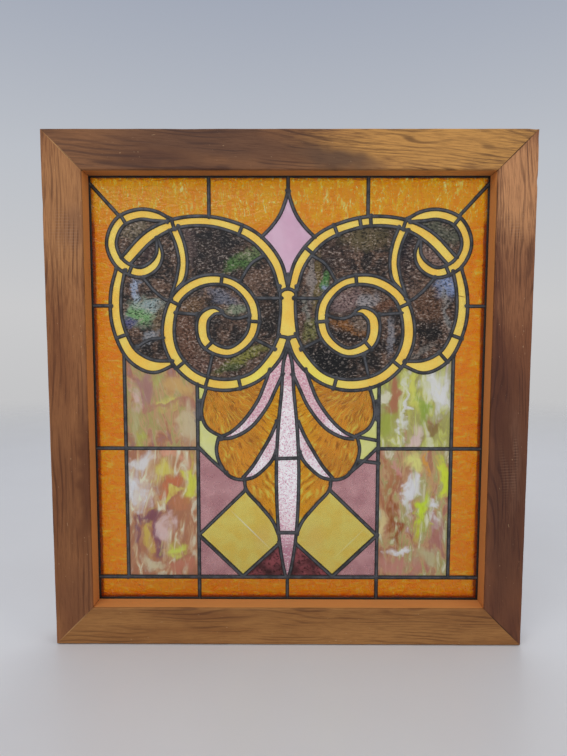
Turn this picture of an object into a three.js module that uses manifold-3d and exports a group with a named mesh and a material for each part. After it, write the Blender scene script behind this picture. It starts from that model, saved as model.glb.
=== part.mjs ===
// Stained glass window in a mitred wooden frame.
// Units are millimetres. X runs to the right, Z up, and Y away from the viewer.
// The origin is under the middle of the frame, on the face that it stands on.

import * as THREE from 'three';
import { mergeVertices } from 'three/addons/utils/BufferGeometryUtils.js';
import Module from 'manifold-3d';

const wasm = await Module();
wasm.setup();

// ---- Driving dimensions -------------------------------------------------

const FRAME_WIDTH = 610;
const FRAME_HEIGHT = 657;
const FRAME_DEPTH = 44.5;
const MEMBER_WIDTH = 49;
const MITRE_GAP = 0.3;

const FRONT_REVEAL = 26;
const CAME_DEPTH = 5;
// A full came is drawn at the width of its core, which lies between the edges of
// the glass; a strap is as wide as the face of the came.
const CAME_CORE_WIDTH = 3.2;
const SILL_CORE_WIDTH = 4;
const STRAP_WIDTH = 4.8;
const PERIMETER_SHOWING = 1.6;
const PANEL_BITE = 6;
const GLASS_THICK = 3;
const STRAP_THICK = 0.7;
const FIT_GAP = 0.3;

// The two halves of the design mirror each other about this line, and the right
// half was drawn one per cent wider.
const AXIS_X = -1.2;
const RIGHT_STRETCH = 1.01;

// A curve is cut into chords that stray from it by no more than this.
const CHORD_ERROR = 0.45;
const FINE_STEPS = 400;
// Points on one straight edge closer than this are merged after a join.
const MERGE_ERROR = 0.002;

// ---- Derived places -----------------------------------------------------

const FRONT_Y = -FRAME_DEPTH / 2;
const BACK_Y = FRAME_DEPTH / 2;
const CAME_FRONT = FRONT_Y + FRONT_REVEAL;
const CAME_BACK = CAME_FRONT + CAME_DEPTH;
const GLASS_FRONT = CAME_FRONT + (CAME_DEPTH - GLASS_THICK) / 2;
const GLASS_BACK = GLASS_FRONT + GLASS_THICK;

const SIGHT_X = FRAME_WIDTH / 2 - MEMBER_WIDTH;
const SIGHT_BOTTOM = MEMBER_WIDTH;
const SIGHT_TOP = FRAME_HEIGHT - MEMBER_WIDTH;

const LEFT = -1;
const RIGHT = 1;

// ---- The drawing --------------------------------------------------------
// Points are [out, up]: the distance out from the design's axis, and the height
// above the bottom of the frame. Ribbon knots are [out, up, width], where the
// width is measured between the two cames that hold the ribbon.

const SILL_UP = 79.5;
const LOW_RAIL_UP = 255.7;
const HIGH_RAIL_UP = 443.5;
const OPAL_OUTER = 214.5;
const OPAL_INNER = 119;
const TOP_DIVIDER_OUT = 101.5;

// Flat gold ribbons that draw the C-scrolls.
const RIBBONS = {
  curl: [
    [155, 553.5, 5.5], [171, 558, 12], [191, 560, 12.7], [216, 550, 12.7], [227.5, 523, 12.7],
    [216, 497, 12.7], [191, 486.5, 12.7], [173.5, 495, 12.5], [166, 509, 8.5], [168.5, 530, 1],
  ],
  sweep: [
    [210, 501, 14.5], [179, 532, 14.5], [148, 547.5, 12], [112, 551.8, 12],
    [80, 547, 12.5], [43, 530.5, 13.2], [16, 499, 13.6], [5.5, 465, 12],
  ],
  neck: [
    [146.7, 542.3, 12], [139, 522, 11.5], [135.5, 500, 11], [138.8, 479, 11], [145, 468, 5.5],
    [151.5, 456, 1],
  ],
  volute: [
    [5, 404, 13], [17, 378, 15.5], [45, 350, 14], [83, 340.5, 14.5], [122, 350.5, 14.5],
    [148.5, 378.5, 15], [156, 412, 15.6], [144, 453.5, 13.5], [111, 475.5, 13.2], [72, 473, 11.5],
    [46, 445, 13], [48, 406, 13], [77, 383.5, 11.5], [107, 396.5, 14], [110, 426, 14.5],
    [97, 437, 10], [86, 435, 3],
  ],
  wing: [
    [216.5, 490, 11.5], [223, 461, 13.5], [222.5, 423, 14.3], [207.7, 384.5, 15.6],
    [193, 371, 17], [176, 364.8, 16.4], [151, 369, 6],
  ],
  frond: [
    [15, 358, 18], [23.5, 337, 16], [33, 316, 15], [54, 288, 13], [74, 274, 7.5], [88, 270, 3],
  ],
};

// Single cames that run in the same places on both halves.
const PAIRED_LINES = [
  [[256, 601], [216, 557]],
  [[OPAL_OUTER, LOW_RAIL_UP], [OPAL_INNER, LOW_RAIL_UP]],
  [[OPAL_OUTER, 379], [OPAL_OUTER, SILL_UP]],
  [[OPAL_INNER, 341], [OPAL_INNER, SILL_UP]],
  [[156, 556.8], [147, 553.5]],
  // diamond under the top rail
  [[0, 590], [3.5, 577], [10, 560.5], [20, 546], [34, 531.5]],
  // upright that carries the two scrolls
  [[11, 469], [9.7, 443], [10.8, 424], [13, 405]],
  [[10, 461], [5, 464.5], [0, 465.5]],
  [[13, 405], [0, 402.5]],
  [[0, 484], [0, 465]],
  // fan of petals and its central stalk
  [[0, 390], [5.5, 370], [8.2, 330], [12, 290], [14.7, 238], [14.3, 185], [11, 132], [6, 97], [2, 79.5]],
  [[116.3, 319], [116.3, 295]],
  [[107, 336], [112.5, 316], [113.5, 300], [106, 283], [86, 270.5]],
  [[91.5, 271], [94.5, 255], [91, 238], [79, 219.5], [68, 214.3], [57, 213.5]],
  [[14, 292], [23, 271.5], [34, 252], [47, 231], [60, 215.5]],
  [[15.5, 252], [20, 241], [31, 228], [45, 217], [58, 213.5]],
  [[57.5, 214], [55, 199.5], [38, 179.5], [20, 157], [12.5, 140]],
  [[119, 258], [101, 240], [82, 223]],
  // kite of clear glass
  [[56, 199.5], [119, 137.5]],
  [[119, 137.5], [60, 80]],
  [[60, 80], [11, 126]],
];

// Cames that cross a run of like glass. The pieces on both sides of one are made as
// one solid, so this came is a strap across the face of the glass.
const PAIRED_STRAPS = [
  [[TOP_DIVIDER_OUT, 609], [TOP_DIVIDER_OUT, 557.5]],
  [[256, HIGH_RAIL_UP], [230, HIGH_RAIL_UP]],
  [[256, LOW_RAIL_UP], [OPAL_OUTER, LOW_RAIL_UP]],
  [[OPAL_INNER, SILL_UP], [OPAL_INNER, 48]],
  // divisions of the dark ground
  [[188, 480], [172, 461.5], [156, 450.5], [150, 454]],
  [[31, 508], [47, 498], [62, 475]],
  [[86, 435], [81, 430.5], [71, 427.5], [62, 428], [50, 432]],
  [[42, 453.5], [8, 453.5]],
  [[43, 400.5], [17, 387.5]],
  [[98.5, 380], [105, 352]],
  [[146, 434.5], [118, 432.5]],
  // joints of the stalk
  [[-1, 242], [15, 243]],
  [[-1, 141], [12, 141]],
];

// Straps found on one half only.
const LEFT_STRAPS = [
  [[197, 390], [182, 399], [163, 402]],
];

const RIGHT_STRAPS = [
  [[93, 271.3], [119, 266.5]],
  [[94, 239.5], [119, 236.3]],
];

// Where a ribbon is made of lengths of glass: the [out, up] of each joint.
const RIBBON_JOINTS = {
  curl: { left: [[211, 552], [203, 492]], right: [[214, 551], [203, 492]] },
  sweep: {
    left: [[148, 547], [60, 541.5]],
    right: [[148, 547], [105, 552], [91.5, 550], [61, 541.5], [27, 514]],
  },
  volute: {
    left: [[63, 343], [107, 345], [140.5, 367], [147, 446.5], [86.5, 476], [45, 423.5], [104.5, 391]],
    right: [[61.5, 343], [143, 367], [150, 445], [88.5, 476], [43.5, 423.7], [105, 391]],
  },
  wing: { left: [[217.8, 404.5]], right: [[219, 403.5], [201, 377.5]] },
};

// ---- Glass and where each piece lies --------------------------------------

const GLASS_TYPES = {
  amber: { color: 0xd88716, roughness: 0.35 },
  gold: { color: 0xe2ba56, roughness: 0.55 },
  dark: { color: 0x463732, roughness: 0.35 },
  opal: { color: 0xa9a07a, roughness: 0.4 },
  pink: { color: 0xb996aa, roughness: 0.2 },
  hammered: { color: 0xe1d3da, roughness: 0.3 },
  ripple: { color: 0xb87a2d, roughness: 0.3 },
  straw: { color: 0xd7cd82, roughness: 0.3 },
  mauve: { color: 0xa5787d, roughness: 0.25 },
  wine: { color: 0x64323c, roughness: 0.25 },
  clear: { color: 0xc3aa55, roughness: 0.1 },
};

// [name, type of glass, a point on the piece as [out, up]].
const PAIRED_PANES = [
  ['border_top', 'amber', [150, 580]],
  ['border_side', 'amber', [240, 350]],
  ['border_sill', 'amber', [60, 63]],
  ['curl_ribbon', 'gold', [190, 560]],
  ['sweep_ribbon', 'gold', [112, 551.8]],
  ['neck_ribbon', 'gold', [135.5, 500]],
  ['volute_ribbon', 'gold', [83, 340.5]],
  ['wing_ribbon', 'gold', [223, 461]],
  ['ground_curl_upper', 'dark', [200, 535]],
  ['ground_curl_eye', 'dark', [185, 507]],
  ['ground_outer', 'dark', [195, 430]],
  ['ground_volute', 'dark', [130, 400]],
  ['opal_upper', 'opal', [165, 300]],
  ['opal_lower', 'opal', [165, 160]],
  ['frond_upper', 'hammered', [33, 316]],
  ['frond_lower', 'hammered', [36, 238]],
  ['petal_upper', 'ripple', [80, 310]],
  ['petal_middle', 'ripple', [65, 250]],
  ['petal_lower', 'ripple', [35, 205]],
  ['straw_upper', 'straw', [114, 330]],
  ['straw_lower', 'straw', [101, 256]],
  ['mauve_upper', 'mauve', [95, 200]],
  ['mauve_lower', 'mauve', [105, 100]],
  ['wine_triangle', 'wine', [25, 95]],
  ['clear_kite', 'clear', [60, 140]],
];

const MIDDLE_PANES = [
  ['diamond', 'pink', [0, 540]],
  ['upright', 'gold', [0, 430]],
  ['stalk', 'hammered', [0, 200]],
];

// ---- Solids ---------------------------------------------------------------

// Turns a closed three.js geometry into a solid that can be cut and joined.
function solidOf(geometry) {
  geometry.deleteAttribute('normal');
  geometry.deleteAttribute('uv');
  const welded = mergeVertices(geometry, 1e-4);
  const mesh = new wasm.Mesh({
    numProp: 3,
    vertProperties: Float32Array.from(welded.getAttribute('position').array),
    triVerts: Uint32Array.from(welded.index.array),
  });
  return new wasm.Manifold(mesh);
}

function geometryOf(solid) {
  const mesh = solid.getMesh();
  const geometry = new THREE.BufferGeometry();
  geometry.setAttribute('position', new THREE.BufferAttribute(mesh.vertProperties, 3));
  geometry.setIndex(new THREE.BufferAttribute(mesh.triVerts, 1));
  return geometry;
}

// A plate whose outline lies in the plane of the window, between two depths.
function plate(outline, front, back) {
  const shape = new THREE.Shape(outline);
  const geometry = new THREE.ExtrudeGeometry(shape, { depth: back - front, bevelEnabled: false });
  geometry.rotateX(Math.PI / 2);
  geometry.translate(0, back, 0);
  return solidOf(geometry);
}

function rectangle(left, right, bottom, top) {
  return [
    new THREE.Vector2(left, bottom),
    new THREE.Vector2(right, bottom),
    new THREE.Vector2(right, top),
    new THREE.Vector2(left, top),
  ];
}

// ---- Lines ------------------------------------------------------------------

function flat(point) {
  return new THREE.Vector3(point.x, point.y, 0);
}

// Places a drawn point on one half of the window.
function placed([out, up], side) {
  const reach = side === RIGHT ? out * RIGHT_STRETCH : out;
  return new THREE.Vector2(AXIS_X + side * reach, up);
}

// Chords along at(t) for t from 0 to 1, each as long as the chord error allows.
function chords(at) {
  const fine = Array.from({ length: FINE_STEPS + 1 }, (_, i) => at(i / FINE_STEPS));
  const line = [fine[0]];
  let start = 0;
  for (let end = 2; end <= FINE_STEPS; end += 1) {
    const chord = new THREE.Line3(flat(fine[start]), flat(fine[end]));
    const strays = fine.slice(start + 1, end).some((point) => {
      const foot = chord.closestPointToPoint(flat(point), true, new THREE.Vector3());
      return foot.distanceTo(flat(point)) > CHORD_ERROR;
    });
    if (strays) {
      start = end - 1;
      line.push(fine[start]);
    }
  }
  return [...line, fine[FINE_STEPS]];
}

// A smooth line through a few points, or a straight one between two.
function smoothLine(points) {
  if (points.length === 2) return points;
  const curve = new THREE.CatmullRomCurve3(points.map(flat), false, 'centripetal');
  return chords((t) => {
    const point = curve.getPoint(t);
    return new THREE.Vector2(point.x, point.y);
  });
}

// The two came lines of a ribbon, one on each side of its middle line.
function ribbonEdges(knots, side) {
  const middle = knots.map(([out, up, width]) => {
    const point = placed([out, up], side);
    return new THREE.Vector3(point.x, point.y, width);
  });
  const curve = new THREE.CatmullRomCurve3(middle, false, 'centripetal');
  const edge = (hand) => (t) => {
    const point = curve.getPoint(t);
    const ahead = curve.getPoint(Math.min(t + 1e-4, 1));
    const behind = curve.getPoint(Math.max(t - 1e-4, 0));
    const along = new THREE.Vector2(ahead.x - behind.x, ahead.y - behind.y).normalize();
    const reach = (hand * point.z) / 2;
    return new THREE.Vector2(point.x - along.y * reach, point.y + along.x * reach);
  };
  return [chords(edge(1)), chords(edge(-1))];
}

// The joint across a ribbon nearest to a drawn point.
function ribbonJoint(edges, joint, side) {
  const target = flat(placed(joint, side));
  return edges.map((line) => {
    let best = flat(line[0]);
    for (let i = 1; i < line.length; i += 1) {
      const chord = new THREE.Line3(flat(line[i - 1]), flat(line[i]));
      const foot = chord.closestPointToPoint(target, true, new THREE.Vector3());
      if (foot.distanceTo(target) < best.distanceTo(target)) best = foot;
    }
    return new THREE.Vector2(best.x, best.y);
  });
}

// The outline of a bar of even width that follows a line.
function barOutline(line, width) {
  const left = [];
  const right = [];
  line.forEach((point, i) => {
    const before = line[Math.max(i - 1, 0)];
    const after = line[Math.min(i + 1, line.length - 1)];
    const incoming = point.clone().sub(before).normalize();
    const outgoing = after.clone().sub(point).normalize();
    if (i === 0) incoming.copy(outgoing);
    if (i === line.length - 1) outgoing.copy(incoming);
    const along = incoming.clone().add(outgoing).normalize();
    const mitre = width / 2 / along.dot(incoming);
    const across = new THREE.Vector2(-along.y, along.x).multiplyScalar(mitre);
    left.push(point.clone().add(across));
    right.push(point.clone().sub(across));
  });
  return [...right, ...left.reverse()];
}

// ---- Lead -------------------------------------------------------------------

// Every full came as { line, width }, and the line of every strap.
function drawCames() {
  const cames = [];
  const straps = [];
  for (const side of [LEFT, RIGHT]) {
    const half = side === LEFT ? 'left' : 'right';
    for (const [name, knots] of Object.entries(RIBBONS)) {
      const edges = ribbonEdges(knots, side);
      edges.forEach((line) => cames.push({ line, width: CAME_CORE_WIDTH }));
      const joints = RIBBON_JOINTS[name] ? RIBBON_JOINTS[name][half] : [];
      joints.forEach((joint) => straps.push(ribbonJoint(edges, joint, side)));
    }
    const ownStraps = side === LEFT ? LEFT_STRAPS : RIGHT_STRAPS;
    const drawn = (points) => smoothLine(points.map((point) => placed(point, side)));
    PAIRED_LINES.forEach((points) => cames.push({ line: drawn(points), width: CAME_CORE_WIDTH }));
    [...PAIRED_STRAPS, ...ownStraps].forEach((points) => straps.push(drawn(points)));
  }
  const sill = [new THREE.Vector2(-SIGHT_X, SILL_UP), new THREE.Vector2(SIGHT_X, SILL_UP)];
  cames.push({ line: sill, width: SILL_CORE_WIDTH });
  for (const [top, bottom] of [[609, 586], [SILL_UP, 48]]) {
    cames.push({ line: [placed([0, top], LEFT), placed([0, bottom], LEFT)], width: CAME_CORE_WIDTH });
  }
  return { cames, straps };
}

// The came around the panel, let into the frame, grown inwards by a clearance.
function perimeter(clearance) {
  const reach = PANEL_BITE - FIT_GAP;
  const outside = plate(
    rectangle(-SIGHT_X - reach, SIGHT_X + reach, SIGHT_BOTTOM - reach, SIGHT_TOP + reach),
    CAME_FRONT,
    CAME_BACK,
  );
  const showing = PERIMETER_SHOWING + clearance;
  const inside = plate(
    rectangle(-SIGHT_X + showing, SIGHT_X - showing, SIGHT_BOTTOM + showing, SIGHT_TOP - showing),
    CAME_FRONT - 1,
    CAME_BACK + 1,
  );
  return outside.subtract(inside);
}

function joined(solids) {
  return solids.reduce((whole, solid) => whole.add(solid)).asOriginal().simplify(MERGE_ERROR);
}

const { cames, straps } = drawCames();

function makeNet() {
  const full = cames.map(({ line, width }) => plate(barOutline(line, width), CAME_FRONT, CAME_BACK));
  const thin = straps.map((line) => {
    return plate(barOutline(line, STRAP_WIDTH), CAME_FRONT, CAME_FRONT + STRAP_THICK);
  });
  return joined([perimeter(0), ...full, ...thin]);
}

// All the glass, as separate pieces that stop just short of the lead.
function cutGlass() {
  const sheet = plate(rectangle(-SIGHT_X, SIGHT_X, SIGHT_BOTTOM, SIGHT_TOP), GLASS_FRONT, GLASS_BACK);
  const lead = cames.map(({ line, width }) => {
    return plate(barOutline(line, width + 2 * FIT_GAP), CAME_FRONT, CAME_BACK);
  });
  return sheet.subtract(joined([perimeter(FIT_GAP), ...lead])).asOriginal().decompose();
}

// ---- Materials ----------------------------------------------------------------

const leadMaterial = new THREE.MeshStandardMaterial({ color: 0x3e3e46, roughness: 0.55, metalness: 0.8 });

function glassMaterial(type) {
  const { color, roughness } = GLASS_TYPES[type];
  return new THREE.MeshStandardMaterial({ color, roughness, metalness: 0, transparent: true, opacity: 0.85 });
}

function woodMaterial(color) {
  return new THREE.MeshStandardMaterial({ color, roughness: 0.6, metalness: 0 });
}

// ---- Frame ------------------------------------------------------------------

// A mitred member, grooved on its inner edge for the panel.
function makeMember(corners, panelCavity) {
  return plate(corners, FRONT_Y, BACK_Y).subtract(panelCavity);
}

function makeFrame() {
  const bite = PANEL_BITE;
  const cavity = plate(
    rectangle(-SIGHT_X - bite, SIGHT_X + bite, SIGHT_BOTTOM - bite, SIGHT_TOP + bite),
    CAME_FRONT - FIT_GAP,
    CAME_BACK + FIT_GAP,
  );
  const halfWidth = FRAME_WIDTH / 2;
  // Half of the mitre gap, measured along the outer edge.
  const ease = MITRE_GAP * Math.SQRT1_2;
  const rail = (outerUp, innerUp) => [
    new THREE.Vector2(-halfWidth + ease, outerUp),
    new THREE.Vector2(halfWidth - ease, outerUp),
    new THREE.Vector2(SIGHT_X - ease, innerUp),
    new THREE.Vector2(-SIGHT_X + ease, innerUp),
  ];
  const stile = (side) => [
    new THREE.Vector2(side * halfWidth, ease),
    new THREE.Vector2(side * halfWidth, FRAME_HEIGHT - ease),
    new THREE.Vector2(side * SIGHT_X, SIGHT_TOP - ease),
    new THREE.Vector2(side * SIGHT_X, SIGHT_BOTTOM + ease),
  ];
  return [
    ['frame_top_rail', makeMember(rail(FRAME_HEIGHT, SIGHT_TOP), cavity), woodMaterial(0x8a6844)],
    ['frame_bottom_rail', makeMember(rail(0, SIGHT_BOTTOM), cavity), woodMaterial(0x87623e)],
    ['frame_left_stile', makeMember(stile(LEFT), cavity), woodMaterial(0x875f41)],
    ['frame_right_stile', makeMember(stile(RIGHT), cavity), woodMaterial(0x6e4b41)],
  ];
}

// ---- Assembly -----------------------------------------------------------------

const PROBE = 1;

// The piece of glass that a drawn point lies on.
function pieceAt(pieces, point) {
  const probe = plate(
    rectangle(point.x - PROBE, point.x + PROBE, point.y - PROBE, point.y + PROBE),
    GLASS_FRONT,
    GLASS_BACK,
  );
  return pieces.find((piece) => !piece.intersect(probe).isEmpty());
}

function makePanes() {
  const pieces = cutGlass();
  const panes = [];
  const claim = (name, type, point) => panes.push([name, pieceAt(pieces, point), glassMaterial(type)]);
  for (const [name, type, spot] of PAIRED_PANES) {
    claim(`left_${name}`, type, placed(spot, LEFT));
    claim(`right_${name}`, type, placed(spot, RIGHT));
  }
  MIDDLE_PANES.forEach(([name, type, spot]) => claim(name, type, placed(spot, LEFT)));
  return panes;
}

const stainedGlassWindow = new THREE.Group();
const parts = [...makeFrame(), ['lead_came_net', makeNet(), leadMaterial], ...makePanes()];
for (const [name, solid, material] of parts) {
  const mesh = new THREE.Mesh(geometryOf(solid), material);
  mesh.name = name;
  stainedGlassWindow.add(mesh);
}

export default stainedGlassWindow;
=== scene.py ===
# %% [markdown]
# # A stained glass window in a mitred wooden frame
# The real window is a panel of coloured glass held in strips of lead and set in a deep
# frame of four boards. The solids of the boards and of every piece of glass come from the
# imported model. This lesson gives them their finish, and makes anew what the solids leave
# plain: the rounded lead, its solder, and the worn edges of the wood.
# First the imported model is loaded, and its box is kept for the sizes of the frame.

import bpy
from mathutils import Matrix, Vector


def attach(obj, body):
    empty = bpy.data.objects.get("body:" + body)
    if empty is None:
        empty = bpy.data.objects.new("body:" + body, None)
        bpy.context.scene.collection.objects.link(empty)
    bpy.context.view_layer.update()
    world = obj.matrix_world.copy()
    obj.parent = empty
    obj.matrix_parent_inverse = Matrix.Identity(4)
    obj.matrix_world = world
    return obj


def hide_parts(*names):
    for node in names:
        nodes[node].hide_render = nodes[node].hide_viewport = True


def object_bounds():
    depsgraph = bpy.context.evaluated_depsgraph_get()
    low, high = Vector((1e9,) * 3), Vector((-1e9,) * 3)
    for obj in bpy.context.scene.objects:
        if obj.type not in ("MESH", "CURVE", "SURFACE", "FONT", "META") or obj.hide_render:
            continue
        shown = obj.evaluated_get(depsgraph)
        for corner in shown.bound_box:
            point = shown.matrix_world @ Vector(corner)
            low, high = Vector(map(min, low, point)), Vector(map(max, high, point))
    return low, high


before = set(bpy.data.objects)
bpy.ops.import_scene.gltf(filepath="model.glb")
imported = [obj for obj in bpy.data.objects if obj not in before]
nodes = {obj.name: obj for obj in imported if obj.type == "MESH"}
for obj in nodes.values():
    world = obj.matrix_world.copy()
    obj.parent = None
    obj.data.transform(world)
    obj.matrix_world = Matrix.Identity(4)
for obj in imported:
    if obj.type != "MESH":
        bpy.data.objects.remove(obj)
cad_box = [list(corner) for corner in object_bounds()]

import math

import bpy
import numpy as np

HALF_WIDTH, HALF_DEPTH, HEIGHT = (round(1000 * value, 2) for value in cad_box[1])
print("solids loaded:", len(nodes), "half width, half depth, height in millimetres:",
      HALF_WIDTH, HALF_DEPTH, HEIGHT)

# %% [markdown]
# ## The camera
# A window like this is looked at from a little above its middle, close enough that the
# frame narrows towards the floor. A camera can be aimed with a constraint, or placed by
# its own numbers. Numbers are used here, because the other views turn this same camera.

# %% Place the camera
CAMERA_PLACE = (-0.00387, -0.7151, 0.40863)
CAMERA_PITCH, CAMERA_ROLL, CAMERA_YAW = 0.0817, -0.0013, 0.0041
LENS, SENSOR = 26.19, 36

camera_data = bpy.data.cameras.new("camera")
camera_data.lens = LENS
camera_data.sensor_width = SENSOR
camera = bpy.data.objects.new("camera", camera_data)
camera.location = CAMERA_PLACE
camera.rotation_euler = (math.pi / 2 - CAMERA_PITCH, CAMERA_ROLL, CAMERA_YAW)
bpy.context.scene.collection.objects.link(camera)
bpy.context.scene.camera = camera
print("camera height in metres:", CAMERA_PLACE[2], "lens in millimetres:", LENS)

# %% [markdown]
# ## The drawing
# A glazier works from a full-size drawing, the cartoon, whose lines are the middles of the
# leads. The design is symmetrical, so each line is kept once, as distances out from the
# axis and heights above the floor in millimetres, and is laid out on both halves. By hand
# the axis came out a little left of the middle and the right half one per cent wider. The
# gold scrolls are ribbons, so each point of their middle line also has a width.

# %% The ribbons of gold glass
AXIS_X = -1.2
RIGHT_STRETCH = 1.01
LEFT, RIGHT = -1, 1
# The opening of the frame, inside which the panel shows.
SIGHT_HALF, SIGHT_LOW, SIGHT_HIGH = 256.0, 49.0, 608.0

RIBBONS = {
    "curl": [
        (155, 553.5, 5.5), (171, 558, 12), (191, 560, 12.7), (216, 550, 12.7), (227.5, 523, 12.7),
        (216, 497, 12.7), (191, 486.5, 12.7), (173.5, 495, 12.5), (166, 509, 8.5), (168.5, 530, 1),
    ],
    "sweep": [
        (210, 501, 14.5), (179, 532, 14.5), (148, 547.5, 12), (112, 551.8, 12),
        (80, 547, 12.5), (43, 530.5, 13.2), (16, 499, 13.6), (5.5, 465, 12),
    ],
    "neck": [
        (146.7, 542.3, 12), (139, 522, 11.5), (135.5, 500, 11), (138.8, 479, 11), (145, 468, 5.5),
        (151.5, 456, 1),
    ],
    "volute": [
        (5, 404, 13), (17, 378, 15.5), (45, 350, 14), (83, 340.5, 14.5), (122, 350.5, 14.5),
        (148.5, 378.5, 15), (156, 412, 15.6), (144, 453.5, 13.5), (111, 475.5, 13.2),
        (72, 473, 11.5), (46, 445, 13), (48, 406, 13), (77, 383.5, 11.5), (107, 396.5, 14),
        (110, 426, 14.5), (97, 437, 10), (86, 435, 3),
    ],
    "wing": [
        (216.5, 490, 11.5), (223, 461, 13.5), (222.5, 423, 14.3), (207.7, 384.5, 15.6),
        (193, 371, 17), (176, 364.8, 16.4), (151, 369, 6),
    ],
    "frond": [
        (15, 358, 18), (23.5, 337, 16), (33, 316, 15), (54, 288, 13), (74, 274, 7.5), (88, 270, 3),
    ],
}

# Where a lead crosses a ribbon, on the left half and on the right half.
RIBBON_JOINTS = {
    "curl": ([(211, 552), (203, 492)], [(214, 551), (203, 492)]),
    "sweep": (
        [(148, 547), (60, 541.5)],
        [(148, 547), (105, 552), (91.5, 550), (61, 541.5), (27, 514)],
    ),
    "neck": ([], []),
    "volute": (
        [(63, 343), (107, 345), (140.5, 367), (147, 446.5), (86.5, 476), (45, 423.5), (104.5, 391)],
        [(61.5, 343), (143, 367), (150, 445), (88.5, 476), (43.5, 423.7), (105, 391)],
    ),
    "wing": ([(217.8, 404.5)], [(219, 403.5), (201, 377.5)]),
    "frond": ([], []),
}
print("ribbons:", len(RIBBONS), "joints:", sum(len(l) + len(r) for l, r in RIBBON_JOINTS.values()))

# %% The single leads
PAIRED_LEADS = [
    [(256, 601), (216, 557)],
    [(256, 443.5), (230, 443.5)],
    [(256, 255.7), (214.5, 255.7)],
    [(214.5, 255.7), (119, 255.7)],
    [(214.5, 379), (214.5, 79.5)],
    [(119, 341), (119, 79.5)],
    [(119, 79.5), (119, 48)],
    [(101.5, 609), (101.5, 557.5)],
    [(156, 556.8), (147, 553.5)],
    [(0, 590), (3.5, 577), (10, 560.5), (20, 546), (34, 531.5)],
    [(11, 469), (9.7, 443), (10.8, 424), (13, 405)],
    [(10, 461), (5, 464.5), (0, 465.5)],
    [(13, 405), (0, 402.5)],
    [(188, 480), (172, 461.5), (156, 450.5), (150, 454)],
    [(31, 508), (47, 498), (62, 475)],
    [(86, 435), (81, 430.5), (71, 427.5), (62, 428), (50, 432)],
    [(42, 453.5), (8, 453.5)],
    [(43, 400.5), (17, 387.5)],
    [(98.5, 380), (105, 352)],
    [(146, 434.5), (118, 432.5)],
    [
        (0, 390), (5.5, 370), (8.2, 330), (12, 290), (14.7, 238), (14.3, 185),
        (11, 132), (6, 97), (2, 79.5),
    ],
    [(116.3, 319), (116.3, 295)],
    [(107, 336), (112.5, 316), (113.5, 300), (106, 283), (86, 270.5)],
    [(91.5, 271), (94.5, 255), (91, 238), (79, 219.5), (68, 214.3), (57, 213.5)],
    [(14, 292), (23, 271.5), (34, 252), (47, 231), (60, 215.5)],
    [(15.5, 252), (20, 241), (31, 228), (45, 217), (58, 213.5)],
    [(57.5, 214), (55, 199.5), (38, 179.5), (20, 157), (12.5, 140)],
    [(119, 258), (101, 240), (82, 223)],
    [(56, 199.5), (119, 137.5)],
    [(119, 137.5), (60, 80)],
    [(60, 80), (11, 126)],
]
LEFT_LEADS = [
    [(197, 390), (182, 399), (163, 402)],
    [(0, 609), (0, 586)],
    [(0, 484), (0, 465)],
    [(0, 79.5), (0, 48)],
    [(-15, 243), (15, 242)],
    [(-12, 141), (12, 141)],
]
RIGHT_LEADS = [
    [(93, 271.3), (119, 266.5)],
    [(94, 239.5), (119, 236.3)],
]
SILL_LEAD = [(-256, 79.5), (256, 79.5)]
print("single leads:", 2 * len(PAIRED_LEADS) + len(LEFT_LEADS) + len(RIGHT_LEADS))

# %% [markdown]
# ## Smooth lines
# A lead bends evenly between the points where it is pinned down, as a spring would. A
# Blender curve could do that, but the same lines are needed as arrays, to carry a profile
# along them and to find where the joints lie. So each line is a centripetal Catmull-Rom
# curve, worked out for all its points at once.

# %% Draw a smooth line through a few knots
def place(points, side):
    """Lays drawn points out on one half: x is the axis plus or minus the distance out."""
    points = np.array(points, float)
    stretch = RIGHT_STRETCH if side == RIGHT else 1.0
    points[:, 0] = AXIS_X + side * stretch * points[:, 0]
    return points


def smooth_line(knots, steps=24):
    """A centripetal Catmull-Rom curve through the knots, with steps points to each span.

    Each span is the cubic a + b u + c u^2 + d u^3. Its end slopes come from the knots on
    either side, weighed by the square root of the distance between knots.
    """
    knots = np.asarray(knots, float)
    before = 2 * knots[:1] - knots[1:2]
    after = 2 * knots[-1:] - knots[-2:-1]
    run = np.vstack([before, knots, after])
    gap = ((np.diff(run, axis=0) ** 2).sum(1) ** 0.25)[:, None]
    g0, g1, g2 = gap[:-2], gap[1:-1], gap[2:]
    p0, p1, p2, p3 = run[:-3], run[1:-2], run[2:-1], run[3:]
    leave = ((p1 - p0) / g0 - (p2 - p0) / (g0 + g1) + (p2 - p1) / g1) * g1
    reach = ((p2 - p1) / g1 - (p3 - p1) / (g1 + g2) + (p3 - p2) / g2) * g1
    u = np.linspace(0, 1, steps, endpoint=False)[None, :, None]
    square = 3 * (p2 - p1) - 2 * leave - reach
    cube = 2 * (p1 - p2) + leave + reach
    spans = p1[:, None] + u * leave[:, None] + u**2 * square[:, None] + u**3 * cube[:, None]
    return np.vstack([spans.reshape(-1, knots.shape[1]), knots[-1:]])


def even_line(line, gap):
    """The same line with its points an even distance apart: x and z against its length."""
    length = np.r_[0, np.cumsum(np.hypot(*np.diff(line[:, :2], axis=0).T))]
    count = max(2, int(round(length[-1] / gap)) + 1)
    at = np.linspace(0, length[-1], count)
    return np.column_stack([np.interp(at, length, line[:, k]) for k in range(line.shape[1])])


def sideways(line):
    """Unit vectors square to the line, a quarter turn left of the way it runs."""
    ahead = np.gradient(line[:, :2], axis=0)
    ahead /= np.hypot(*ahead.T)[:, None]
    return np.column_stack([-ahead[:, 1], ahead[:, 0]])


trial = even_line(smooth_line(place(RIBBONS["sweep"], RIGHT)), 2.0)
print("middle of a ribbon:", len(trial), "points from", trial[0], "to", trial[-1])

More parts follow.
